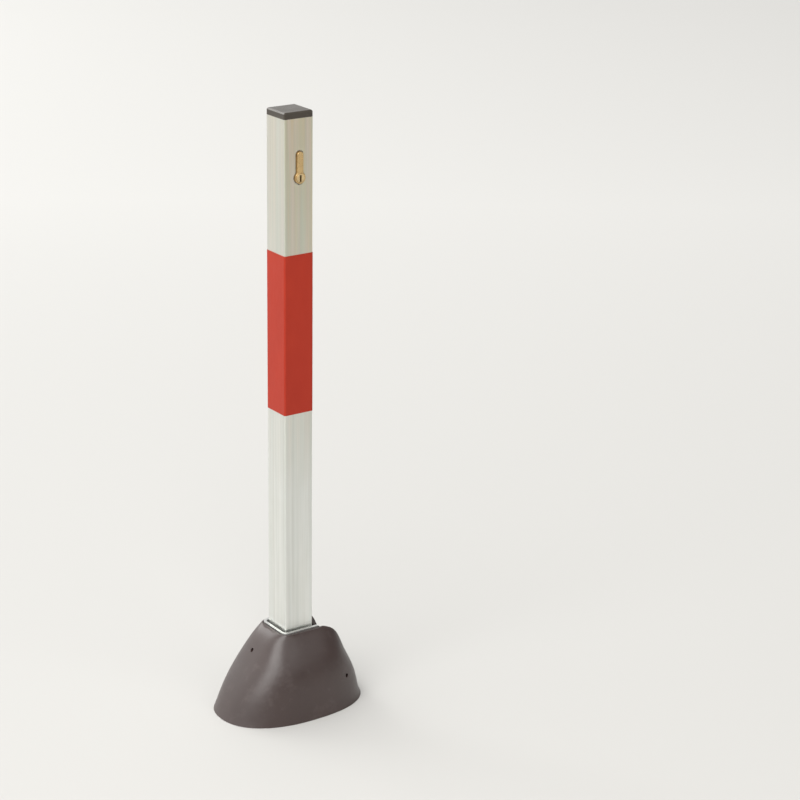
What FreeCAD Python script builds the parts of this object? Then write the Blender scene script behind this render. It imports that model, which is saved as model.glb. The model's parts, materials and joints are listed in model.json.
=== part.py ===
import FreeCAD, Part
import math
import os
import re
import Sketcher

# Fold-down lockable parking post.
# Millimetres, +Z up.  The origin is the centre of the base cover's footprint, on the ground.
# The lock faces -Y and the post folds down towards +X.

V = FreeCAD.Vector
DOC = FreeCAD.newDocument("FoldingPost")
SHEET = DOC.addObject("Spreadsheet::Sheet", "Params")

SIZES = [
    ("tube_side", 35.0, "square tube, outside"),
    ("tube_wall", 2.0, "square tube, wall"),
    ("tube_corner", 1.6, "square tube, outside corner radius"),
    ("tube_x", 4.5, "tube axis from the cover centre"),
    ("tube_bottom", 26.0, "height of the tube's lower end"),
    ("tube_top", 663.0, "height of the tube's upper end"),
    ("cap_rise", 7.0, "cap above the tube"),
    ("cap_bevel", 1.4, "cap top edge bevel"),
    ("cap_skirt", 14.0, "cap skirt depth inside the tube"),
    ("cap_wall", 1.8, "cap skirt wall"),
    ("band_low", 343.5, "red band, lower edge"),
    ("band_high", 519.0, "red band, upper edge"),
    ("band_skin", 0.35, "red band, thickness"),
    ("pivot_z", 48.0, "fold axis height"),
    ("bush_out", 13.0, "pivot bush, outside diameter"),
    ("bolt_dia", 10.0, "pivot bolt shank"),
    ("bolt_fit", 0.1, "pivot bush bore over the bolt"),
    ("bolt_hole", 10.4, "pivot hole in the cheeks"),
    ("hex_flats", 16.0, "bolt head and nut across flats"),
    ("head_high", 6.4, "bolt head height"),
    ("nut_high", 9.0, "nut height"),
    ("bolt_tail", 36.5, "bolt end from the centre plane"),
    ("washer_dia", 20.0, "steel washer diameter"),
    ("washer_thk", 2.0, "steel washer thickness"),
    ("spacer_dia", 24.0, "side spacer diameter"),
    ("spacer_thk", 2.7, "side spacer thickness"),
    ("plate_long", 124.0, "base plate length"),
    ("plate_wide", 72.0, "base plate width"),
    ("plate_thk", 4.0, "base plate thickness"),
    ("plate_round", 8.0, "base plate corner radius"),
    ("anchor_px", 108.0, "anchor hole spacing along X"),
    ("anchor_py", 56.0, "anchor hole spacing along Y"),
    ("anchor_dia", 9.0, "anchor hole diameter"),
    ("sheet_thk", 3.0, "bracket sheet"),
    ("cheek_in", 20.4, "cheek inner face from the centre plane"),
    ("web_x", -18.6, "bracket web, outer face"),
    ("bend_out", 7.0, "bracket bend, outside radius"),
    ("rim_z", 92.9, "bracket rim height"),
    ("rim_end", 26.0, "where the rim starts to fall"),
    ("cheek_mid_x", 40.0, "cheek outline, upper slope end"),
    ("cheek_mid_z", 80.0, "cheek outline, upper slope end height"),
    ("lug_x", 58.5, "cheek lug reach"),
    ("lug_low", 24.0, "cheek lug, lower corner height"),
    ("lug_high", 46.0, "cheek lug, upper corner height"),
    ("foot_x", 42.0, "cheek foot reach"),
    ("foot_z", 14.0, "cheek foot height"),
    ("window_low", 18.0, "web window, lower edge"),
    ("window_high", 66.2, "web window, upper edge"),
    ("keeper_low", 12.5, "keeper bars underside"),
    ("keeper_thk", 6.0, "keeper bars thickness"),
    ("keeper_bar", 6.0, "keeper bar along X"),
    ("keeper_gap", 8.7, "gap between the keeper bars"),
    ("pad_low", 75.0, "rest pad underside"),
    ("pad_high", 12.0, "rest pad height"),
    ("pad_wide", 24.0, "rest pad width"),
    ("pad_thk", 2.4, "rest pad thickness"),
    ("rest_x", 36.0, "fold rest, near edge"),
    ("rest_long", 8.0, "fold rest along X"),
    ("rest_thk", 6.0, "fold rest thickness"),
    ("rest_gap", 0.2, "fold rest below the folded tube"),
    ("cut_x", 0.7, "lock cut-out centre from the tube axis"),
    ("lock_z", 600.6, "lock plug axis height"),
    ("cut_round", 14.4, "lock cut-out, round end diameter"),
    ("cut_stem", 9.4, "lock cut-out, stem width"),
    ("cut_top", 629.9, "lock cut-out, top"),
    ("lock_x", 1.4, "lock axis from the tube axis"),
    ("lock_round", 12.4, "lock body, round part diameter"),
    ("lock_stem", 7.4, "lock body, stem width"),
    ("lock_top", 628.3, "lock body, top"),
    ("lock_proud", 1.2, "lock body in front of the tube"),
    ("lock_back", 7.0, "lock body back face"),
    ("plug_dia", 9.4, "lock plug diameter"),
    ("plug_fit", 0.1, "plug bore over the plug"),
    ("plug_proud", 0.4, "plug in front of the lock body"),
    ("key_wide", 2.0, "keyway width"),
    ("key_high", 7.2, "keyway height"),
    ("key_deep", 18.0, "keyway depth"),
    ("key_drop", 0.6, "keyway centre below the plug axis"),
    ("crank_arm", 10.0, "crank pin radius"),
    ("crank_thk", 4.0, "crank plate thickness"),
    ("crank_gap", 0.4, "crank plate behind the lock body"),
    ("crank_hub", 10.0, "crank hub diameter"),
    ("crank_pin", 4.0, "crank pin diameter"),
    ("crank_deg", 45.0, "crank angle above the horizontal when unlocked"),
    ("cam_head", 4.8, "crank screw head diameter"),
    ("cam_high", 1.8, "crank screw head height"),
    ("cam_slot", 0.9, "crank screw slot"),
    ("pin_back", 14.9, "crank pin end face"),
    ("yoke_y", 12.0, "yoke plate front face"),
    ("yoke_thk", 2.4, "yoke plate thickness"),
    ("yoke_left", 4.4, "yoke plate left edge from the tube axis"),
    ("yoke_right", 15.1, "yoke plate right edge from the tube axis"),
    ("yoke_low", 540.0, "yoke plate lower end"),
    ("yoke_lid", 3.2, "yoke plate above its slot"),
    ("slot_high", 4.8, "yoke slot height"),
    ("slot_left", 6.0, "yoke slot left end from the tube axis"),
    ("slot_right", 13.8, "yoke slot right end from the tube axis"),
    ("rod_dia", 8.0, "pull rod diameter"),
    ("rod_x", 11.0, "pull rod axis from the tube axis"),
    ("rod_y", 8.0, "pull rod axis"),
    ("rod_low", 26.3, "pull rod tip when unlocked"),
    ("rod_high", 578.0, "pull rod upper end when unlocked"),
    ("rod_lead", 1.5, "pull rod tip chamfer"),
    ("rivet_dia", 4.0, "yoke rivet diameter"),
    ("rivet_low", 549.0, "lower yoke rivet"),
    ("rivet_high", 566.0, "upper yoke rivet"),
    ("rivet_head", 6.4, "yoke rivet head diameter"),
    ("rivet_dome", 0.7, "yoke rivet head height"),
    ("guide_side", 30.6, "rod guide and lock carrier, outside"),
    ("guide_high", 18.0, "rod guide height"),
    ("guide_fit", 0.16, "rod guide bore over the rod"),
    ("guide_one", 84.0, "lower guide underside"),
    ("guide_two", 506.0, "upper guide underside"),
    ("carrier_low", 584.0, "lock carrier underside"),
    ("carrier_high", 642.0, "lock carrier top"),
    ("carrier_back", 6.5, "lock carrier back face"),
    ("carrier_gap", 0.3, "carrier pocket around the lock body"),
    ("set_dia", 5.0, "lock set screw diameter"),
    ("set_y", -6.0, "lock set screw position"),
    ("set_room", 4.0, "lock set screw below the carrier top"),
    ("set_flats", 2.5, "lock set screw socket"),
    ("set_deep", 3.0, "lock set screw socket depth"),
    ("side_dia", 4.0, "side screw diameter"),
    ("side_head", 7.6, "side screw head diameter"),
    ("side_long", 7.5, "side screw length"),
    ("side_y", -7.0, "side screw position"),
    ("cover_wall", 3.0, "cover wall"),
    ("slot_half", 24.0, "cover slot half width"),
    ("slot_floor", 27.0, "cover slot floor"),
    ("slot_back", -19.2, "cover slot end behind the web"),
    ("slot_round", 7.6, "cover slot, corner radius behind the web"),
    ("boss_dia", 9.0, "cover screw boss diameter"),
    ("recess_dia", 4.4, "cover screw recess diameter"),
    ("screw_dia", 2.9, "cover screw shank"),
    ("screw_head", 4.1, "cover screw head"),
    ("screw_high", 2.4, "cover screw head height"),
    ("socket_flats", 2.0, "cover screw socket"),
    ("socket_deep", 1.6, "cover screw socket depth"),
    ("screw_long", 6.6, "cover screw length under the head"),
    ("screw_land", 3.0, "cover left under the screw head"),
    ("left_y", 5.3, "left cover screw"),
    ("left_z", 69.2, "left cover screw height"),
    ("side_x", 50.5, "front and rear cover screws"),
    ("side_z", 33.9, "front and rear cover screws height"),
]

for line, (alias, value, note) in enumerate(SIZES, start=1):
    SHEET.set("A%d" % line, note)
    SHEET.set("B%d" % line, str(value))
    SHEET.setAlias("B%d" % line, alias)
DOC.recompute()

NAMES = {alias for alias, value, note in SIZES}
VALUE = {alias: float(SHEET.get(alias)) for alias in NAMES}
NODES = []


def ref(text):
    """Expression text with every size name pointed at the sheet."""
    return re.sub(r"[a-z]+(_[a-z]+)*", lambda m: "Params." + m[0] if m[0] in NAMES else m[0], text)


def number(text):
    """The present value of an expression made of size names and plain arithmetic."""
    total = 0.0
    for sign, term in re.findall(r"([+-]?)\s*([^+-]+)", text):
        product = 1.0
        for operator, factor in re.findall(r"([*/]?)\s*([a-z_]+|[0-9.]+)", term):
            amount = VALUE[factor] if factor in NAMES else float(factor)
            product = product / amount if operator == "/" else product * amount
        total += -product if sign == "-" else product
    return total


def keep(obj, label):
    """Name a finished piece."""
    obj.Label = label
    NODES.append(obj)
    return obj


# ---------------------------------------------------------------- sketched bodies

def new_body(name):
    return DOC.addObject("PartDesign::Body", name)


def sketch(body, name, role, level="0", shift=("0", "0")):
    """Sketch on one of the body's own planes, moved along the normal and within the plane."""
    flat = body.newObject("Sketcher::SketchObject", name)
    plane = [f for f in body.Origin.OriginFeatures if f.Role == role][0]
    flat.AttachmentSupport = [(plane, "")]
    flat.MapMode = "FlatFace"
    for axis, text in zip("xyz", (shift[0], shift[1], level)):
        flat.setExpression("AttachmentOffset.Base." + axis, ref(text))
    return flat


def pin_down(flat, kind, geometry, point, text):
    index = flat.addConstraint(Sketcher.Constraint(kind, -1, 1, geometry, point, number(text)))
    flat.setExpression("Constraints[%d]" % index, ref(text))


def polygon(flat, corners):
    """Closed outline; every corner's two coordinates are bound to the sheet."""
    points = [V(number(u), number(v), 0) for u, v in corners]
    first = flat.GeometryCount
    count = len(points)
    for i in range(count):
        flat.addGeometry(Part.LineSegment(points[i], points[(i + 1) % count]))
    for i in range(count):
        flat.addConstraint(Sketcher.Constraint("Coincident", first + i, 2, first + (i + 1) % count, 1))
    for i, (u, v) in enumerate(corners):
        pin_down(flat, "DistanceX", first + i, 1, u)
        pin_down(flat, "DistanceY", first + i, 1, v)


def rectangle(flat, left, right, low, high):
    polygon(flat, [(left, low), (right, low), (right, high), (left, high)])


def circle(flat, u, v, diameter):
    centre = V(number(u), number(v), 0)
    index = flat.addGeometry(Part.Circle(centre, V(0, 0, 1), number(diameter) / 2))
    pin_down(flat, "DistanceX", index, 3, u)
    pin_down(flat, "DistanceY", index, 3, v)
    bound = flat.addConstraint(Sketcher.Constraint("Diameter", index, number(diameter)))
    flat.setExpression("Constraints[%d]" % bound, ref(diameter))


def feature(body, kind, name, flat, length=None, both=False, back=False):
    """Pad, Pocket or Revolution of a sketch."""
    made = body.newObject("PartDesign::" + kind, name)
    made.Profile = flat
    if length is None:
        made.Type = "ThroughAll"
    else:
        made.setExpression("Length", ref(length))
    made.Midplane = both
    made.Reversed = back
    body.Tip = made
    DOC.recompute()
    return made


def edges(shape, test):
    """Names of the edges whose middle point passes the test."""
    found = []
    for i, edge in enumerate(shape.Edges, start=1):
        middle = edge.valueAt((edge.FirstParameter + edge.LastParameter) / 2)
        direction = edge.tangentAt(edge.FirstParameter)
        if test(middle, direction):
            found.append("Edge%d" % i)
    return found


def dress(body, kind, name, base, size, test):
    """Fillet or Chamfer on chosen edges."""
    made = body.newObject("PartDesign::" + kind, name)
    made.Base = (base, edges(base.Shape, test))
    made.setExpression("Radius" if kind == "Fillet" else "Size", ref(size))
    body.Tip = made
    DOC.recompute()
    return made


def upright(middle, direction):
    return abs(direction.z) > 0.99


# ---------------------------------------------------------------- simple solids

TURN = {
    "z": FreeCAD.Rotation(),
    "y": FreeCAD.Rotation(V(1, 0, 0), -90),
    "-y": FreeCAD.Rotation(V(1, 0, 0), 90),
    "x": FreeCAD.Rotation(V(0, 1, 0), 90),
    "-x": FreeCAD.Rotation(V(0, 1, 0), -90),
}


def locate(obj, x, y, z, axis="z"):
    obj.Placement = FreeCAD.Placement(V(0, 0, 0), TURN[axis])
    for letter, text in zip("xyz", (x, y, z)):
        obj.setExpression("Placement.Base." + letter, ref(text))
    return obj


def cylinder(name, diameter, length, x, y, z, axis="z"):
    obj = DOC.addObject("Part::Cylinder", name)
    obj.setExpression("Radius", ref("(%s)/2" % diameter))
    obj.setExpression("Height", ref(length))
    return locate(obj, x, y, z, axis)


def cone(name, wide, narrow, length, x, y, z, axis="z"):
    obj = DOC.addObject("Part::Cone", name)
    obj.setExpression("Radius1", ref("(%s)/2" % wide))
    obj.setExpression("Radius2", ref("(%s)/2" % narrow))
    obj.setExpression("Height", ref(length))
    return locate(obj, x, y, z, axis)


def hexagon(name, flats, length, x, y, z, axis="z"):
    obj = DOC.addObject("Part::Prism", name)
    obj.Polygon = 6
    obj.setExpression("Circumradius", ref("(%s)/sqrt(3)" % flats))
    obj.setExpression("Height", ref(length))
    return locate(obj, x, y, z, axis)


def block(name, long, wide, high, x, y, z):
    """Box centred on x and y, standing on z."""
    obj = DOC.addObject("Part::Box", name)
    obj.setExpression("Length", ref(long))
    obj.setExpression("Width", ref(wide))
    obj.setExpression("Height", ref(high))
    return locate(obj, "(%s) - (%s)/2" % (x, long), "(%s) - (%s)/2" % (y, wide), z)


def join(name, pieces):
    obj = DOC.addObject("Part::MultiFuse", name)
    obj.Shapes = pieces
    return obj


def group(name, pieces):
    """Several separate solids kept in one piece."""
    obj = DOC.addObject("Part::Compound", name)
    obj.Links = pieces
    return obj


def cut(name, base, tools):
    obj = DOC.addObject("Part::Cut", name)
    obj.Base = base
    obj.Tool = tools[0] if len(tools) == 1 else join(name + "_tools", tools)
    return obj


# ---------------------------------------------------------------- base and bracket

base = new_body("base_plate")
flat = sketch(base, "plate_outline", "XY_Plane")
rectangle(flat, "-plate_long/2", "plate_long/2", "-plate_wide/2", "plate_wide/2")
slab = feature(base, "Pad", "plate_slab", flat, "plate_thk")
slab = dress(base, "Fillet", "plate_corners", slab, "plate_round", upright)
flat = sketch(base, "anchor_layout", "XY_Plane", "plate_thk")
for u in ("-anchor_px/2", "anchor_px/2"):
    for v in ("-anchor_py/2", "anchor_py/2"):
        circle(flat, u, v, "anchor_dia")
feature(base, "Pocket", "anchor_holes", flat)
keep(base, "base_plate")

bracket = new_body("bracket")
flat = sketch(bracket, "cheek_outline", "XZ_Plane")
polygon(flat, [
    ("web_x", "plate_thk"),
    ("foot_x", "plate_thk"),
    ("foot_x", "foot_z"),
    ("lug_x", "lug_low"),
    ("lug_x", "lug_high"),
    ("cheek_mid_x", "cheek_mid_z"),
    ("rim_end", "rim_z"),
    ("web_x", "rim_z"),
])
channel = feature(bracket, "Pad", "channel_block", flat, "2*cheek_in + 2*sheet_thk", both=True)
channel = dress(bracket, "Fillet", "bends", channel, "bend_out",
                lambda m, d: upright(m, d) and m.x < number("web_x") + 1)
flat = sketch(bracket, "channel_inside", "XY_Plane", "rim_z")
rectangle(flat, "web_x + sheet_thk", "lug_x + 5", "-cheek_in", "cheek_in")
channel = feature(bracket, "Pocket", "channel_space", flat)
channel = dress(bracket, "Fillet", "inner_bends", channel, "bend_out - sheet_thk",
                lambda m, d: upright(m, d) and abs(m.x - number("web_x + sheet_thk")) < 0.01)
flat = sketch(bracket, "window_outline", "YZ_Plane", "web_x + sheet_thk + 1.5")
rectangle(flat, "-cheek_in", "cheek_in", "window_low", "window_high")
feature(bracket, "Pocket", "web_window", flat, "sheet_thk + 6")
flat = sketch(bracket, "pivot_outline", "XZ_Plane")
circle(flat, "tube_x", "pivot_z", "bolt_hole")
feature(bracket, "Pocket", "pivot_holes", flat, both=True)
flat = sketch(bracket, "cover_pilot_outline", "XZ_Plane")
circle(flat, "side_x", "side_z", "screw_dia")
feature(bracket, "Pocket", "cover_pilots", flat, both=True)
flat = sketch(bracket, "web_pilot_outline", "YZ_Plane", "web_x + sheet_thk + 1.5")
circle(flat, "left_y", "left_z", "screw_dia")
feature(bracket, "Pocket", "web_pilot", flat, "sheet_thk + 6")
keep(bracket, "bracket")

keeper_bars = []
for side, sign in (("inner", "-"), ("outer", "+")):
    keeper_bars.append(block("keeper_" + side, "keeper_bar", "2*cheek_in", "keeper_thk",
                             "tube_x + rod_x %s (keeper_gap + keeper_bar)/2" % sign, "0", "keeper_low"))
keep(group("keeper_pair", keeper_bars), "keeper_bars")

pad = block("rest_pad_block", "pad_thk", "pad_wide", "pad_high",
            "web_x + sheet_thk + pad_thk/2", "0", "pad_low")
keep(pad, "rest_pad")

rest = block("fold_rest", "rest_long", "2*cheek_in", "rest_thk",
             "rest_x + rest_long/2", "0", "pivot_z - tube_side/2 - rest_gap - rest_thk")
keep(rest, "fold_rest")

# ---------------------------------------------------------------- pivot hardware

near = "cheek_in + sheet_thk"
head = hexagon("bolt_head", "hex_flats", "head_high", "tube_x", "-(%s) - washer_thk" % near,
               "pivot_z", "-y")
shank = cylinder("bolt_shank", "bolt_dia", "%s + washer_thk + bolt_tail" % near,
                 "tube_x", "-(%s) - washer_thk" % near, "pivot_z", "y")
keep(join("pivot_bolt", [head, shank]), "pivot_bolt")

nut_blank = hexagon("nut_blank", "hex_flats", "nut_high", "tube_x", "%s + washer_thk" % near,
                    "pivot_z", "y")
nut_bore = cylinder("nut_bore", "bolt_dia", "nut_high + 2", "tube_x", near, "pivot_z", "y")
keep(cut("pivot_nut", nut_blank, [nut_bore]), "pivot_nut")


def ring_pair(name, outer, bore, thickness, start):
    """Two equal rings on the fold axis, one at each side of the centre plane."""
    rings = []
    for side, axis, sign in (("front", "-y", "-"), ("rear", "y", "")):
        face = "%s(%s)" % (sign, start)
        blank = cylinder("%s_%s_blank" % (name, side), outer, thickness, "tube_x", face, "pivot_z", axis)
        hole = cylinder("%s_%s_bore" % (name, side), bore, thickness, "tube_x", face, "pivot_z", axis)
        rings.append(cut("%s_%s" % (name, side), blank, [hole]))
    return group(name, rings)


keep(ring_pair("pivot_washers", "washer_dia", "bolt_hole", "washer_thk", near), "pivot_washers")
keep(ring_pair("side_spacers", "spacer_dia", "bolt_hole", "spacer_thk", "cheek_in - spacer_thk"),
     "side_spacers")

bush_blank = cylinder("bush_blank", "bush_out", "tube_side", "tube_x", "-tube_side/2", "pivot_z", "y")
bush_bore = cylinder("bush_bore", "bolt_dia + bolt_fit", "tube_side", "tube_x", "-tube_side/2",
                     "pivot_z", "y")
keep(cut("pivot_bush", bush_blank, [bush_bore]), "pivot_bush")

# ---------------------------------------------------------------- post

SIDE_LEVELS = ["guide_one + guide_high/2", "guide_two + guide_high/2",
               "carrier_low + 8", "carrier_high - 8"]

tube = new_body("post_tube")
flat = sketch(tube, "tube_outline", "XY_Plane", "tube_bottom", ("tube_x", "0"))
rectangle(flat, "-tube_side/2", "tube_side/2", "-tube_side/2", "tube_side/2")
bar = feature(tube, "Pad", "tube_bar", flat, "tube_top - tube_bottom")
dress(tube, "Fillet", "tube_corners", bar, "tube_corner", upright)
flat = sketch(tube, "bore_outline", "XY_Plane", "tube_top", ("tube_x", "0"))
rectangle(flat, "tube_wall - tube_side/2", "tube_side/2 - tube_wall",
          "tube_wall - tube_side/2", "tube_side/2 - tube_wall")
feature(tube, "Pocket", "tube_bore", flat)
flat = sketch(tube, "pivot_outline", "XZ_Plane")
circle(flat, "tube_x", "pivot_z", "bush_out")
feature(tube, "Pocket", "bush_holes", flat, both=True)
flat = sketch(tube, "cut_round_outline", "XZ_Plane", "tube_side/2")
circle(flat, "tube_x + cut_x", "lock_z", "cut_round")
feature(tube, "Pocket", "cut_round_end", flat, "tube_wall + 1")
flat = sketch(tube, "cut_stem_outline", "XZ_Plane", "tube_side/2")
rectangle(flat, "tube_x + cut_x - cut_stem/2", "tube_x + cut_x + cut_stem/2",
          "lock_z", "cut_top - cut_stem/2")
feature(tube, "Pocket", "cut_stem_slot", flat, "tube_wall + 1")
flat = sketch(tube, "cut_top_outline", "XZ_Plane", "tube_side/2")
circle(flat, "tube_x + cut_x", "cut_top - cut_stem/2", "cut_stem")
feature(tube, "Pocket", "cut_top_end", flat, "tube_wall + 1")
flat = sketch(tube, "side_outline", "YZ_Plane", "tube_x + tube_side/2")
for level in SIDE_LEVELS:
    circle(flat, "side_y", level, "side_dia")
feature(tube, "Pocket", "side_holes", flat, "tube_wall + 1")
seat_cones = []
for i, level in enumerate(SIDE_LEVELS):
    seat_cones.append(cone("side_seat_%d" % i, "side_head", "side_dia", "tube_wall",
                           "tube_x + tube_side/2", "side_y", level, "-x"))
tube.Label = "post_tube_plain"
keep(cut("post_tube_seated", tube, seat_cones), "post_tube")

band = new_body("red_band")
flat = sketch(band, "band_outline", "XY_Plane", "band_low", ("tube_x", "0"))
rectangle(flat, "-tube_side/2 - band_skin", "tube_side/2 + band_skin",
          "-tube_side/2 - band_skin", "tube_side/2 + band_skin")
wrap = feature(band, "Pad", "band_block", flat, "band_high - band_low")
dress(band, "Fillet", "band_corners", wrap, "tube_corner + band_skin", upright)
core = block("band_core", "tube_side", "tube_side", "band_high - band_low", "tube_x", "0", "band_low")
DOC.recompute()
core_round = DOC.addObject("Part::Fillet", "band_core_round")
core_round.Base = core
corner = VALUE["tube_corner"]
core_round.Edges = [(int(name[4:]), corner, corner) for name in edges(core.Shape, upright)]
band.Label = "red_band_block"
keep(cut("red_wrap", band, [core_round]), "red_band")

cap = new_body("top_cap")
flat = sketch(cap, "cap_outline", "XY_Plane", "tube_top", ("tube_x", "0"))
rectangle(flat, "-tube_side/2", "tube_side/2", "-tube_side/2", "tube_side/2")
lid = feature(cap, "Pad", "cap_lid", flat, "cap_rise")
lid = dress(cap, "Fillet", "cap_corners", lid, "tube_corner", upright)
dress(cap, "Chamfer", "cap_top_edge", lid, "cap_bevel",
      lambda m, d: abs(m.z - number("tube_top + cap_rise")) < 0.01)
flat = sketch(cap, "skirt_outline", "XY_Plane", "tube_top", ("tube_x", "0"))
reach = "guide_side/2"
rectangle(flat, "-" + reach, reach, "-" + reach, reach)
feature(cap, "Pad", "cap_skirt_block", flat, "cap_skirt", back=True)
flat = sketch(cap, "skirt_inside", "XY_Plane", "tube_top - cap_skirt", ("tube_x", "0"))
rectangle(flat, "cap_wall - guide_side/2", "guide_side/2 - cap_wall",
          "cap_wall - guide_side/2", "guide_side/2 - cap_wall")
feature(cap, "Pocket", "skirt_space", flat, "cap_skirt", back=True)
keep(cap, "top_cap")

for label, start in (("rod_guide_lower", "guide_one"), ("rod_guide_upper", "guide_two")):
    guide = new_body(label)
    flat = sketch(guide, label + "_outline", "XY_Plane", start, ("tube_x", "0"))
    rectangle(flat, "-" + reach, reach, "-" + reach, reach)
    circle(flat, "rod_x", "rod_y", "rod_dia + guide_fit")
    feature(guide, "Pad", label + "_block", flat, "guide_high")
    side = cylinder(label + "_pilot", "side_dia", "side_long", "tube_x + tube_side/2", "side_y",
                    start + " + guide_high/2", "-x")
    guide.Label = label + "_plain"
    keep(cut(label + "_drilled", guide, [side]), label)

side_screws = []
for i, level in enumerate(SIDE_LEVELS):
    face = "tube_x + tube_side/2"
    countersunk = cone("side_head_%d" % i, "side_head", "side_dia", "tube_wall", face, "side_y", level, "-x")
    stem = cylinder("side_stem_%d" % i, "side_dia", "side_long", face, "side_y", level, "-x")
    screw = join("side_screw_%d" % i, [countersunk, stem])
    socket = hexagon("side_socket_%d" % i, "side_dia/2", "tube_wall/1.5", face, "side_y", level, "-x")
    side_screws.append(cut("side_screw_cut_%d" % i, screw, [socket]))
keep(group("side_screws", side_screws), "side_screws")

# ---------------------------------------------------------------- lock

lock_at = "tube_x + lock_x"
front = "tube_side/2 + lock_proud"


def lock_outline(name, slack, face, length):
    """Round end below, straight stem above with a rounded top, running back from a face towards +Y."""
    start = "-(%s)" % face
    wide = "lock_round + 2*(%s)" % slack
    stem = "lock_stem + 2*(%s)" % slack
    top = "lock_top + (%s)" % slack
    low = cylinder(name + "_round", wide, length, lock_at, start, "lock_z", "y")
    high = cylinder(name + "_top", stem, length, lock_at, start, "%s - (%s)/2" % (top, stem), "y")
    mid = block(name + "_stem", stem, length, "%s - (%s)/2 - lock_z" % (top, stem), lock_at,
                "%s + (%s)/2" % (start, length), "lock_z")
    return join(name, [low, mid, high])


body_blank = lock_outline("lock_blank", "0", front, front + " + lock_back")
plug_bore = cylinder("plug_bore", "plug_dia + plug_fit", front + " + lock_back", lock_at, "-(%s)" % front,
                     "lock_z", "y")
keep(cut("cylinder_body", body_blank, [plug_bore]), "cylinder_body")

plug_face = front + " + plug_proud"
plug_blank = cylinder("plug_blank", "plug_dia", plug_face + " + lock_back + crank_gap", lock_at,
                      "-(%s)" % plug_face, "lock_z", "y")
keyway = block("keyway", "key_wide", "key_deep", "key_high", lock_at, "key_deep/2 - (%s)" % plug_face,
               "lock_z - key_high/2 - key_drop")
keep(cut("cylinder_plug", plug_blank, [keyway]), "cylinder_plug")

crank_y = "lock_back + crank_gap"
hub = cylinder("crank_hub_disc", "crank_hub", "crank_thk", lock_at, crank_y, "lock_z", "y")
pin_x = "%s + crank_arm*cos(crank_deg)" % lock_at
pin_z = "lock_z + crank_arm*sin(crank_deg)"
tip = cylinder("crank_tip", "crank_pin + 2", "crank_thk", pin_x, crank_y, pin_z, "y")
pin = cylinder("crank_pin_post", "crank_pin", "pin_back - (%s)" % crank_y, pin_x, crank_y, pin_z, "y")
arm = DOC.addObject("Part::Box", "crank_arm_bar")
arm.setExpression("Length", ref("crank_arm"))
arm.setExpression("Width", ref("crank_thk"))
arm.setExpression("Height", ref("crank_pin + 2"))
arm.Placement = FreeCAD.Placement(V(0, 0, 0), FreeCAD.Rotation(V(0, 1, 0), -VALUE["crank_deg"]))
half = "(crank_pin/2 + 1)"
arm.setExpression("Placement.Base.x", ref("%s + %s*sin(crank_deg)" % (lock_at, half)))
arm.setExpression("Placement.Base.y", ref(crank_y))
arm.setExpression("Placement.Base.z", ref("lock_z - %s*cos(crank_deg)" % half))
keep(join("crank_cam", [hub, arm, tip, pin]), "crank_cam")

cam_face = crank_y + " + crank_thk"
cam_head = cylinder("cam_screw_head", "cam_head", "cam_high", lock_at, cam_face, "lock_z", "y")
cam_slot = block("cam_screw_slot", "cam_head + 1", "cam_high", "cam_slot", lock_at,
                 cam_face + " + cam_high", "lock_z - cam_slot/2")
keep(cut("cam_screw", cam_head, [cam_slot]), "cam_screw")

carrier_blank = block("carrier_blank", "guide_side", "guide_side/2 + carrier_back",
                      "carrier_high - carrier_low", "tube_x",
                      "carrier_back/2 - guide_side/4", "carrier_low")
carrier_pocket = lock_outline("carrier_pocket", "carrier_gap", "guide_side/2 + 1",
                              "guide_side/2 + carrier_back + 2")
set_hole = cylinder("set_hole", "set_dia", "carrier_high - lock_top + 1", lock_at, "set_y", "lock_top", "z")
carrier_pilots = []
for i, level in enumerate(SIDE_LEVELS[2:]):
    carrier_pilots.append(cylinder("carrier_pilot_%d" % i, "side_dia", "side_long",
                                   "tube_x + tube_side/2", "side_y", level, "-x"))
keep(cut("lock_carrier", carrier_blank, [carrier_pocket, set_hole] + carrier_pilots), "lock_carrier")

set_stem = cylinder("set_stem", "set_dia", "carrier_high - lock_top - set_room", lock_at, "set_y", "lock_top")
set_socket = hexagon("set_socket", "set_flats", "set_deep", lock_at, "set_y",
                     "carrier_high - set_room - set_deep")
keep(cut("cylinder_set_screw", set_stem, [set_socket]), "cylinder_set_screw")

# ---------------------------------------------------------------- lock drive

yoke = new_body("yoke_plate")
slot_z = "lock_z + crank_arm*0.70711"
flat = sketch(yoke, "yoke_outline", "XZ_Plane", "-yoke_y", ("tube_x", "0"))
rectangle(flat, "yoke_left", "yoke_right", "yoke_low", slot_z + " + slot_high/2 + yoke_lid")
rectangle(flat, "slot_left", "slot_right", slot_z + " - slot_high/2", slot_z + " + slot_high/2")
for level in ("rivet_low", "rivet_high"):
    circle(flat, "rod_x", level, "rivet_dia")
feature(yoke, "Pad", "yoke_slab", flat, "yoke_thk", back=True)
keep(yoke, "yoke_plate")

rod_blank = cylinder("rod_blank", "rod_dia", "rod_high - rod_low - rod_lead", "tube_x + rod_x", "rod_y",
                     "rod_low + rod_lead")
rod_point = cone("rod_point", "rod_dia - 2*rod_lead", "rod_dia", "rod_lead", "tube_x + rod_x", "rod_y",
                 "rod_low")
rod_whole = join("rod_whole", [rod_blank, rod_point])
rod_holes = []
for i, level in enumerate(("rivet_low", "rivet_high")):
    rod_holes.append(cylinder("rod_hole_%d" % i, "rivet_dia", "rod_dia", "tube_x + rod_x",
                              "rod_y - rod_dia/2", level, "y"))
keep(cut("pull_rod", rod_whole, rod_holes), "pull_rod")

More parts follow.
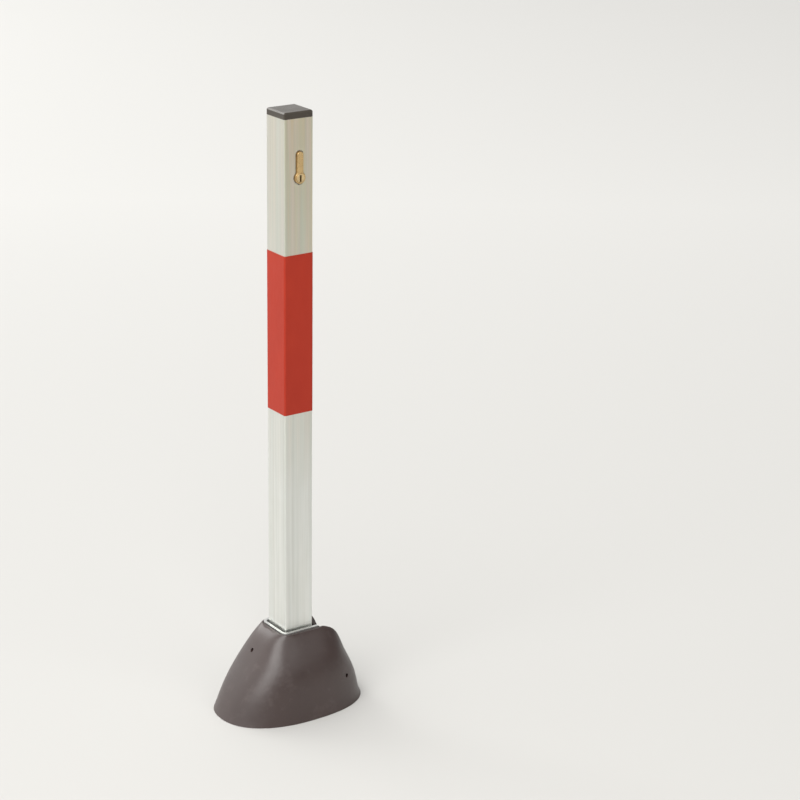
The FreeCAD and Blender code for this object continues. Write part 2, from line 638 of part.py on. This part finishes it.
rivets = []
for i, level in enumerate(("rivet_low", "rivet_high")):
    stem = cylinder("rivet_stem_%d" % i, "rivet_dia", "yoke_y + yoke_thk - rod_y + rod_dia/2",
                    "tube_x + rod_x", "rod_y - rod_dia/2", level, "y")
    dome = cylinder("rivet_head_%d" % i, "rivet_head", "rivet_dome", "tube_x + rod_x",
                    "yoke_y + yoke_thk", level, "y")
    rivets.append(join("rivet_%d" % i, [stem, dome]))
keep(group("yoke_rivets", rivets), "yoke_rivets")

# ---------------------------------------------------------------- moulded cover

# Horizontal sections of the cover: height, left end, right end, half width, then the exponents of the
# left and right corners.  The footprint is close to an oval; higher up the outline turns into a rounded
# rectangle.
SECTIONS = [
    (0.0, -86.0, 86.0, 59.2, 2.25, 2.45),
    (8.0, -82.0, 82.8, 57.2, 2.3, 2.45),
    (45.0, -59.7, 69.9, 49.1, 2.65, 2.7),
    (72.0, -40.4, 57.4, 37.4, 3.2, 3.3),
    (86.0, -29.7, 47.6, 29.2, 3.8, 4.4),
    (91.4, -22.4, 35.2, 26.8, 4.3, 5.5),
]
POINTS = 56


def section_at(level):
    """Section sizes at any height, straight between the given ones."""
    for low, high in zip(SECTIONS, SECTIONS[1:]):
        if level <= high[0]:
            share = (level - low[0]) / (high[0] - low[0])
            return [a + share * (b - a) for a, b in zip(low[1:], high[1:])]
    return list(SECTIONS[-1][1:])


def outline(level, inset=0.0):
    """Closed smooth curve round the cover at one height."""
    left, right, half, left_power, right_power = section_at(level)
    centre = (left + right) / 2
    reach_x = (right - left) / 2 - inset
    reach_y = half - inset
    points = []
    for i in range(POINTS):
        angle = 2 * math.pi * i / POINTS
        c, s = math.cos(angle), math.sin(angle)
        power = left_power if c < 0 else right_power
        points.append(V(centre + reach_x * math.copysign(abs(c) ** (2 / power), c),
                        reach_y * math.copysign(abs(s) ** (2 / power), s),
                        level))
    curve = Part.BSplineCurve()
    curve.interpolate(points, PeriodicFlag=True)
    return Part.Wire([curve.toShape()])


def solid_cylinder(diameter, start, direction, length):
    return Part.makeCylinder(diameter / 2, length, start, direction)


wall = VALUE["cover_wall"]
outside = Part.makeLoft([outline(row[0]) for row in SECTIONS], True, False)
inner_levels = [row[0] for row in SECTIONS[:4]] + [83.0, SECTIONS[-1][0] - wall]
inside = Part.makeLoft([outline(level, wall * 1.22) for level in inner_levels], True, False)
shell = outside.cut(inside)

top = SECTIONS[-1][0]
floor = VALUE["slot_floor"]
half_slot = VALUE["slot_half"]
slot_box = Part.makeBox(200, 2 * half_slot, top, V(VALUE["slot_back"], -half_slot, floor))
back_edges = []
for edge in slot_box.Edges:
    if upright(edge.CenterOfMass, edge.tangentAt(0)) and edge.CenterOfMass.x < VALUE["slot_back"] + 1:
        back_edges.append(edge)
shell = shell.cut(slot_box.makeFillet(VALUE["slot_round"], back_edges))

near_face = number(near) + 0.1
BOSSES = [
    (V(VALUE["web_x"] - 0.1, VALUE["left_y"], VALUE["left_z"]), V(-1, 0, 0)),
    (V(VALUE["side_x"], -near_face, VALUE["side_z"]), V(0, -1, 0)),
    (V(VALUE["side_x"], near_face, VALUE["side_z"]), V(0, 1, 0)),
]
for start, direction in BOSSES:
    shell = shell.fuse(solid_cylinder(VALUE["boss_dia"], start, direction, 60).common(outside))
for start, direction in BOSSES:
    recess = start + direction * VALUE["screw_land"]
    shell = shell.cut(solid_cylinder(VALUE["recess_dia"], recess, direction, 60))
    shell = shell.cut(solid_cylinder(VALUE["screw_dia"], start, direction, 60))

cover = DOC.addObject("Part::Feature", "base_cover")
cover.Shape = shell.removeSplitter()
cover.Placement = FreeCAD.Placement()
keep(cover, "base_cover")

screws = []
for i, (start, direction) in enumerate(BOSSES):
    axis = {(-1, 0): "x", (0, -1): "y", (0, 1): "-y"}[(round(direction.x), round(direction.y))]
    seat = start + direction * VALUE["screw_land"]
    at = [str(round(c, 4)) for c in seat]
    stem = cylinder("cover_stem_%d" % i, "screw_dia", "screw_long", *at, axis)
    face = [str(round(c, 4)) for c in seat + direction * VALUE["screw_high"]]
    head = cylinder("cover_head_%d" % i, "screw_head", "screw_high", *face, axis)
    screw = join("cover_screw_%d" % i, [stem, head])
    socket = hexagon("cover_socket_%d" % i, "socket_flats", "socket_deep", *face, axis)
    screws.append(cut("cover_screw_cut_%d" % i, screw, [socket]))
keep(group("cover_screws", screws), "cover_screws")

# ---------------------------------------------------------------- check and write

DOC.recompute()
for obj in DOC.Objects:
    if any(word in obj.State for word in ("Invalid", "Error")):
        raise RuntimeError("%s did not build: %s" % (obj.Name, obj.State))

os.makedirs("parts", exist_ok=True)
for obj in NODES:
    shape = obj.Shape
    if shape.isNull() or not shape.isValid() or not shape.Solids:
        raise RuntimeError(obj.Label + " has no valid solid")
    box = shape.BoundBox
    print("%-20s solids %d volume %9.1f  x %7.1f %7.1f  y %6.1f %6.1f  z %6.1f %6.1f" % (
        obj.Label, len(shape.Solids), shape.Volume, box.XMin, box.XMax, box.YMin, box.YMax,
        box.ZMin, box.ZMax))
    shape.exportStep("parts/%s.step" % obj.Label)
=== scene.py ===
import json
import math

import bpy
from mathutils import Matrix, Vector

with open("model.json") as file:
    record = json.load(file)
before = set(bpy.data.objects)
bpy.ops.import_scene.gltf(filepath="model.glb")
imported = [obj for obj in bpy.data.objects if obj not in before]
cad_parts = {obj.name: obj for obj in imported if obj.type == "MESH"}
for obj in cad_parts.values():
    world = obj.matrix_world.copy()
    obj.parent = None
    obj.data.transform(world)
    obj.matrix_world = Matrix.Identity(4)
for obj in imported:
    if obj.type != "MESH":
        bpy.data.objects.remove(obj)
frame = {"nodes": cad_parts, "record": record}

SCENE = bpy.context.scene
NODES = frame["nodes"]
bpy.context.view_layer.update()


# ---------------------------------------------------------------- node helpers

# The colour sockets of a Mix node share their names with its other kinds, so they go by number.
MIX_A, MIX_B, MIX_RESULT = 6, 7, 2

EDGE_SAMPLES = 6
EDGE_FAINT, EDGE_FULL = 0.05, 0.5


class Graph:
    """A material's node tree with short helpers. Inputs may be values or sockets."""

    def __init__(self, name):
        self.material = bpy.data.materials.new(name)
        self.material.use_nodes = True
        self.tree = self.material.node_tree
        self.shader = self.tree.nodes["Principled BSDF"]

    def put(self, socket, value):
        if isinstance(value, bpy.types.NodeSocket):
            self.tree.links.new(value, socket)
        else:
            socket.default_value = value

    def node(self, kind, **inputs):
        """Adds a node. The spaces in an input's name are written as underscores."""
        made = self.tree.nodes.new(kind)
        for name, value in inputs.items():
            self.put(made.inputs[name.replace("_", " ")], value)
        return made

    def place(self, scale=(1, 1, 1), shift=(0, 0, 0)):
        """Object coordinates, stretched and shifted."""
        coordinates = self.tree.nodes.new("ShaderNodeTexCoord").outputs["Object"]
        made = self.node("ShaderNodeMapping", Vector=coordinates, Scale=scale, Location=shift)
        return made.outputs["Vector"]

    def noise(self, scale, detail, rough, stretch=(1, 1, 1), shift=(0, 0, 0)):
        made = self.node("ShaderNodeTexNoise", Vector=self.place(stretch, shift), Scale=scale,
                         Detail=detail, Roughness=rough)
        return made.outputs["Fac"]

    def span(self, value, low, high, to_low=0.0, to_high=1.0):
        """Maps one range onto another, clamped."""
        made = self.node("ShaderNodeMapRange", Value=value, From_Min=low, From_Max=high,
                         To_Min=to_low, To_Max=to_high)
        return made.outputs["Result"]

    def math(self, operation, a, b):
        made = self.tree.nodes.new("ShaderNodeMath")
        made.operation = operation
        self.put(made.inputs[0], a)
        self.put(made.inputs[1], b)
        return made.outputs[0]

    def dot(self, a, b):
        made = self.tree.nodes.new("ShaderNodeVectorMath")
        made.operation = "DOT_PRODUCT"
        self.put(made.inputs[0], a)
        self.put(made.inputs[1], b)
        return made.outputs["Value"]

    def mix(self, factor, a, b):
        """Blends two colours, each a socket or three numbers."""
        made = self.tree.nodes.new("ShaderNodeMix")
        made.data_type = "RGBA"
        self.put(made.inputs["Factor"], factor)
        for socket, colour in ((MIX_A, a), (MIX_B, b)):
            given = isinstance(colour, bpy.types.NodeSocket)
            self.put(made.inputs[socket], colour if given else (*colour, 1))
        return made.outputs[MIX_RESULT]

    def edge(self, radius):
        """Near 1 on edges: how far a bevelled normal turns away from the true one."""
        bevel = self.node("ShaderNodeBevel", Radius=radius)
        bevel.samples = EDGE_SAMPLES
        normal = self.tree.nodes.new("ShaderNodeNewGeometry").outputs["Normal"]
        turned = self.math("SUBTRACT", 1.0, self.dot(bevel.outputs["Normal"], normal))
        return self.span(turned, EDGE_FAINT, EDGE_FULL)

    def bump(self, height, strength, distance):
        made = self.node("ShaderNodeBump", Height=height, Strength=strength, Distance=distance)
        self.put(self.shader.inputs["Normal"], made.outputs["Normal"])

    def finish(self, **inputs):
        """Sets the shader's inputs and returns the material."""
        for name, value in inputs.items():
            self.put(self.shader.inputs[name.replace("_", " ")], value)
        return self.material


def shade(colour, factor):
    return tuple(channel * factor for channel in colour)


# ---------------------------------------------------------------- tube

# The tint comes in between these heights, fully on the lock face and faintly on the other three.
TINT_LOW, TINT_HIGH = 0.25, 0.62
LOCK_FACE_OUTSIDE, LOCK_FACE_INSIDE = -0.0172, -0.0166
LOCK_FACE_TINT, OTHER_FACE_TINT = 1.0, 0.35

PLATE = {
    "straw": (0.74, 0.635, 0.45),
    "green": (0.65, 0.66, 0.52),
    "pink": (0.80, 0.68, 0.59),
    "bright": (0.83, 0.84, 0.81),
    "plain": (0.78, 0.80, 0.77),
    "dull": (0.67, 0.68, 0.65),
    "cloud": (0.62, 0.63, 0.55),
    "streak": (0.52, 0.51, 0.46),
    "hair": (0.84, 0.84, 0.82),
    "edge": (0.50, 0.49, 0.44),
}


def zinc_tube():
    """Bright zinc plate on drawn tube: long streaks, duller towards the top, where the lock face
    has straw, green and pink tints."""
    g = Graph("zinc_tube")
    streak = g.noise(60, 4, 0.6, stretch=(4, 4, 0.06))
    hair = g.noise(220, 3, 0.7, stretch=(4, 4, 0.03), shift=(1, 4, 0))
    tint = g.noise(5, 3, 0.6, stretch=(26, 26, 0.7), shift=(3, 1, 2))
    blush = g.noise(5, 2, 0.5, stretch=(34, 34, 1.1), shift=(9, 5, 4))
    cloud = g.noise(16, 4, 0.6, stretch=(1, 1, 0.4), shift=(7, 2, 5))

    at = g.node("ShaderNodeSeparateXYZ", Vector=g.place())
    upper = g.span(at.outputs["Z"], TINT_LOW, TINT_HIGH)
    lock_face = g.span(at.outputs["Y"], LOCK_FACE_OUTSIDE, LOCK_FACE_INSIDE,
                       LOCK_FACE_TINT, OTHER_FACE_TINT)
    stained = g.math("MULTIPLY", upper, lock_face)

    warm = g.mix(g.span(tint, 0.40, 0.60), PLATE["straw"], PLATE["green"])
    warm = g.mix(g.span(blush, 0.50, 0.66, to_high=0.6), warm, PLATE["pink"])
    cool = g.mix(g.span(tint, 0.38, 0.62), PLATE["bright"], PLATE["plain"])
    cool = g.mix(g.span(upper, 0, 1, to_high=0.8), cool, PLATE["dull"])

    colour = g.mix(stained, cool, warm)
    colour = g.mix(g.span(cloud, 0.45, 0.7, to_high=0.25), colour, PLATE["cloud"])
    colour = g.mix(g.span(streak, 0.45, 0.75, to_high=0.35), colour, PLATE["streak"])
    colour = g.mix(g.span(hair, 0.60, 0.75, to_high=0.25), colour, PLATE["hair"])
    # Painted shade: the tube's rounded edges are darkened into a thin dark line.
    colour = g.mix(g.span(g.edge(0.0012), 0, 1, to_high=0.4), colour, PLATE["edge"])
    g.bump(streak, 0.10, 0.0004)
    return g.finish(Base_Color=colour, Metallic=0.94, Roughness=g.span(streak, 0.3, 0.7, 0.30, 0.44))


# ---------------------------------------------------------------- other materials

# Painted highlight colour for the edges of plated steel.
STEEL_EDGE_HIGHLIGHT = (0.88, 0.88, 0.87)
RUBBED_FILM = (0.52, 0.17, 0.12)
# Painted highlight colour for the edges of brass.
BRASS_EDGE_HIGHLIGHT = (0.92, 0.78, 0.52)


def plated_steel(name, base):
    """Plated sheet and hardware: small blotches and a painted highlight on the edges."""
    g = Graph(name)
    blotch = g.noise(90, 4, 0.6)
    fine = g.noise(900, 2, 0.5)
    colour = g.mix(g.span(blotch, 0.35, 0.7), base, shade(base, 0.8))
    # Painted highlight: the edges are lightened towards bright steel.
    colour = g.mix(g.edge(0.0008), colour, STEEL_EDGE_HIGHLIGHT)
    g.bump(fine, 0.15, 0.0002)
    return g.finish(Base_Color=colour, Metallic=0.9, Roughness=g.span(blotch, 0.3, 0.7, 0.28, 0.42))


def red_film():
    """Satin red film: faint mottling and a slightly rubbed edge."""
    g = Graph("red_film")
    mottle = g.noise(35, 4, 0.55, stretch=(1, 1, 0.5))
    fine = g.noise(700, 2, 0.5)
    scuff = g.noise(220, 5, 0.7, stretch=(1, 1, 0.25))
    colour = g.mix(g.span(mottle, 0.3, 0.7), (0.40, 0.030, 0.012), (0.36, 0.025, 0.010))
    rubbed = g.math("MULTIPLY", g.edge(0.0010), g.span(scuff, 0.5, 0.7))
    colour = g.mix(g.span(rubbed, 0, 1, to_high=0.5), colour, RUBBED_FILM)
    g.bump(fine, 0.08, 0.0002)
    return g.finish(Base_Color=colour, Roughness=g.span(scuff, 0.3, 0.7, 0.36, 0.48),
                    Specular_IOR_Level=0.25)


def moulding(name, dark, light, dust_and_edge_glint, grain, rough, gloss):
    """Moulded plastic: fine grain, soft flow marks, and a lighter colour used as dust and as a painted
    glint on the edges.
    """
    g = Graph(name)
    flow = g.noise(9, 4, 0.55)
    fine = g.noise(grain, 2, 0.6)
    dust = g.noise(60, 6, 0.65, shift=(5, 2, 1))
    colour = g.mix(g.span(flow, 0.3, 0.7), dark, light)
    colour = g.mix(g.span(dust, 0.55, 0.8, to_high=0.25), colour, dust_and_edge_glint)
    # Painted glint: the edges are lightened with the same colour as the dust.
    colour = g.mix(g.span(g.edge(0.0012), 0, 1, to_high=0.6), colour, dust_and_edge_glint)
    g.bump(fine, 0.18, 0.00025)
    return g.finish(Base_Color=colour, Roughness=g.span(dust, 0.3, 0.7, *rough),
                    Specular_IOR_Level=gloss)


def turned_brass(name, base):
    """Turned brass: fine tool marks, brown stains and a painted highlight on the edges."""
    g = Graph(name)
    brushed = g.noise(400, 3, 0.6, stretch=(1, 0.2, 3))
    stain = g.noise(120, 4, 0.6)
    colour = g.mix(g.span(stain, 0.35, 0.7), base, shade(base, 0.78))
    # Painted highlight: the edges are lightened towards bright brass.
    colour = g.mix(g.edge(0.0006), colour, BRASS_EDGE_HIGHLIGHT)
    g.bump(brushed, 0.12, 0.0002)
    return g.finish(Base_Color=colour, Metallic=0.95,
                    Roughness=g.span(brushed, 0.3, 0.7, 0.24, 0.38))


MATERIALS = {
    "zinc_tube": zinc_tube(),
    "zinc_steel": plated_steel("zinc_steel", (0.72, 0.73, 0.72)),
    "bright_steel": plated_steel("bright_steel", (0.66, 0.66, 0.65)),
    "dark_steel": plated_steel("dark_steel", (0.06, 0.06, 0.06)),
    "red_film": red_film(),
    "cap_plastic": moulding("cap_plastic", dark=(0.032, 0.025, 0.018), light=(0.050, 0.040, 0.029),
                            dust_and_edge_glint=(0.16, 0.14, 0.13), grain=1800, rough=(0.26, 0.38), gloss=0.6),
    "cover_plastic": moulding("cover_plastic", dark=(0.037, 0.022, 0.020), light=(0.049, 0.030, 0.027),
                              dust_and_edge_glint=(0.15, 0.12, 0.115), grain=1500, rough=(0.33, 0.43), gloss=0.8),
    "nylon": moulding("nylon", dark=(0.70, 0.69, 0.63), light=(0.78, 0.77, 0.72),
                      dust_and_edge_glint=(0.55, 0.53, 0.47), grain=900, rough=(0.4, 0.5), gloss=0.5),
    "lock_brass": turned_brass("lock_brass", (0.77, 0.54, 0.26)),
    # The plug's brass is lighter than the body's, partly its own tone and partly a painted highlight raised
    # to match the bright glint on the plug.
    "plug_brass": turned_brass("plug_brass", (0.92, 0.70, 0.38)),
}
SLOTS = {entry["node"]: entry["material_slot"] for entry in frame["record"]["subparts"]}


# ---------------------------------------------------------------- frame pieces

WELD_GAP = 2e-6
FLAT_ANGLE = math.radians(0.1)
SHARP_ANGLE = math.radians(28)
ROUND_SEGMENTS = 3
LARGE_FACE_WEIGHT = 80

# How wide each piece's edges are rounded, metres.
SMALL_ROUND = 0.0002
ROUND = {
    "post_tube": 0.0003,
    "red_band": 0.0001,
    "top_cap": 0.0005,
    "bracket": 0.0004,
    "base_cover": 0.0007,
    "cylinder_body": 0.0004,
    "cylinder_plug": 0.0007,
    "base_plate": 0.0004,
    "fold_rest": 0.0006,
    "keeper_bars": 0.0004,
    "rest_pad": 0.0004,
    "pivot_bolt": 0.0005,
    "pivot_nut": 0.0005,
    "pull_rod": 0.0003,
}


def soften(obj, width):
    """Joins the faces' split edges, merges each flat into one face, rounds the edges, keeps flats flat."""
    weld = obj.modifiers.new("weld", "WELD")
    weld.merge_threshold = WELD_GAP
    flats = obj.modifiers.new("flats", "DECIMATE")
    flats.decimate_type = "DISSOLVE"
    flats.angle_limit = FLAT_ANGLE
    bevel = obj.modifiers.new("round", "BEVEL")
    bevel.width = width
    bevel.segments = ROUND_SEGMENTS
    bevel.limit_method = "ANGLE"
    bevel.angle_limit = SHARP_ANGLE
    bevel.harden_normals = False
    normals = obj.modifiers.new("normals", "WEIGHTED_NORMAL")
    normals.keep_sharp = False
    normals.weight = LARGE_FACE_WEIGHT


for name, obj in NODES.items():
    obj.data.materials.clear()
    obj.data.materials.append(MATERIALS[SLOTS[name]])
    soften(obj, ROUND.get(name, SMALL_ROUND))


# ---------------------------------------------------------------- floor

FLOOR_SIZE = 60
FLOOR_DROP = 0.0002
# Painted shade and light: the floor colour runs from darker near the camera to lighter far away, standing
# in for light falloff.
FLOOR_NEAR_SHADED = (0.57, 0.566, 0.552)
FLOOR_FAR_LIT = (0.76, 0.757, 0.742)
AWAY = (0.58, 0.81, 0.0)
NEAR, FAR = -0.3, 2.2


def floor_material():
    """Pale matt floor with a painted light falloff: darker near the camera, lighter away from it."""
    g = Graph("floor")
    colour = g.mix(g.span(g.dot(g.place(), AWAY), NEAR, FAR), FLOOR_NEAR_SHADED, FLOOR_FAR_LIT)
    g.bump(g.noise(300, 3, 0.6), 0.03, 0.0003)
    return g.finish(Base_Color=colour, Roughness=0.75)


def make_floor():
    half = FLOOR_SIZE / 2
    corners = [(-half, -half, 0), (half, -half, 0), (half, half, 0), (-half, half, 0)]
    mesh = bpy.data.meshes.new("floor")
    mesh.from_pydata(corners, [], [(0, 1, 2, 3)])
    mesh.materials.append(floor_material())
    made = bpy.data.objects.new("floor", mesh)
    made.location = (0, 0, -FLOOR_DROP)
    SCENE.collection.objects.link(made)
    return made


floor = make_floor()


# ---------------------------------------------------------------- light

POST_MIDDLE = (0, 0, 0.3)

# Name, size, place, target, watts and colour.
SOFTBOXES = (
    ("key", (2.8, 2.2), (-1.75, -1.25, 2.3), POST_MIDDLE, 74, (1.0, 0.99, 0.97)),
    ("fill", (2.5, 2.5), (1.0, -3.4, 2.6), POST_MIDDLE, 24, (1.0, 0.98, 0.95)),
    ("back", (4.0, 2.5), (-0.8, 5.4, 3.2), (1.6, 3.2, 0.0), 100, (1.0, 1.0, 0.98)),
)

BRIGHT_SIDE = (-0.60, 0.70, 0.35)
STUDIO_LEVELS = {"From Min": -0.6, "From Max": 0.9, "To Min": 0.18, "To Max": 1.3}
STUDIO_COLOUR = (1.0, 0.99, 0.97, 1)


def softbox(name, size, place, target, watts, colour):
    data = bpy.data.lights.new(name, "AREA")
    data.shape = "RECTANGLE"
    data.size, data.size_y = size
    data.energy = watts
    data.color = colour
    made = bpy.data.objects.new(name, data)
    made.location = place
    made.rotation_euler = (Vector(target) - Vector(place)).to_track_quat("-Z", "Y").to_euler()
    SCENE.collection.objects.link(made)


def studio():
    """Soft surrounding light, brighter behind and to the left than in front to the right."""
    made = bpy.data.worlds.new("studio")
    made.use_nodes = True
    tree = made.node_tree
    direction = tree.nodes.new("ShaderNodeTexCoord").outputs["Generated"]
    lean = tree.nodes.new("ShaderNodeVectorMath")
    lean.operation = "DOT_PRODUCT"
    tree.links.new(direction, lean.inputs[0])
    lean.inputs[1].default_value = BRIGHT_SIDE
    level = tree.nodes.new("ShaderNodeMapRange")
    tree.links.new(lean.outputs["Value"], level.inputs["Value"])
    for name, amount in STUDIO_LEVELS.items():
        level.inputs[name].default_value = amount
    light = tree.nodes["Background"]
    light.inputs["Color"].default_value = STUDIO_COLOUR
    tree.links.new(level.outputs["Result"], light.inputs["Strength"])
    return made


for row in SOFTBOXES:
    softbox(*row)
SCENE.world = studio()
SCENE.view_settings.view_transform = "Standard"


# ---------------------------------------------------------------- camera

# Metres and radians, fitted to the photo. Heading turns from +X towards +Y, and dip is downwards.
CAMERA_PLACE = (-1.269706, -2.002735, 1.184507)
HEADING, DIP, ROLL = 0.954605, 0.336472, 0.014868
LENS_MM, SENSOR_MM = 105.72, 36


def camera_turn():
    forward = Vector((math.cos(HEADING) * math.cos(DIP), math.sin(HEADING) * math.cos(DIP), -math.sin(DIP)))
    across = forward.cross(Vector((0, 0, 1))).normalized()
    up = across.cross(forward)
    right = math.cos(ROLL) * across + math.sin(ROLL) * up
    top = -math.sin(ROLL) * across + math.cos(ROLL) * up
    return Matrix((right, top, -forward)).transposed().to_4x4()


camera_data = bpy.data.cameras.new("camera")
camera_data.sensor_width = SENSOR_MM
camera_data.lens = LENS_MM
camera_data.clip_end = 200
camera = bpy.data.objects.new("camera", camera_data)
camera.matrix_world = Matrix.Translation(CAMERA_PLACE) @ camera_turn()
SCENE.collection.objects.link(camera)
SCENE.camera = camera
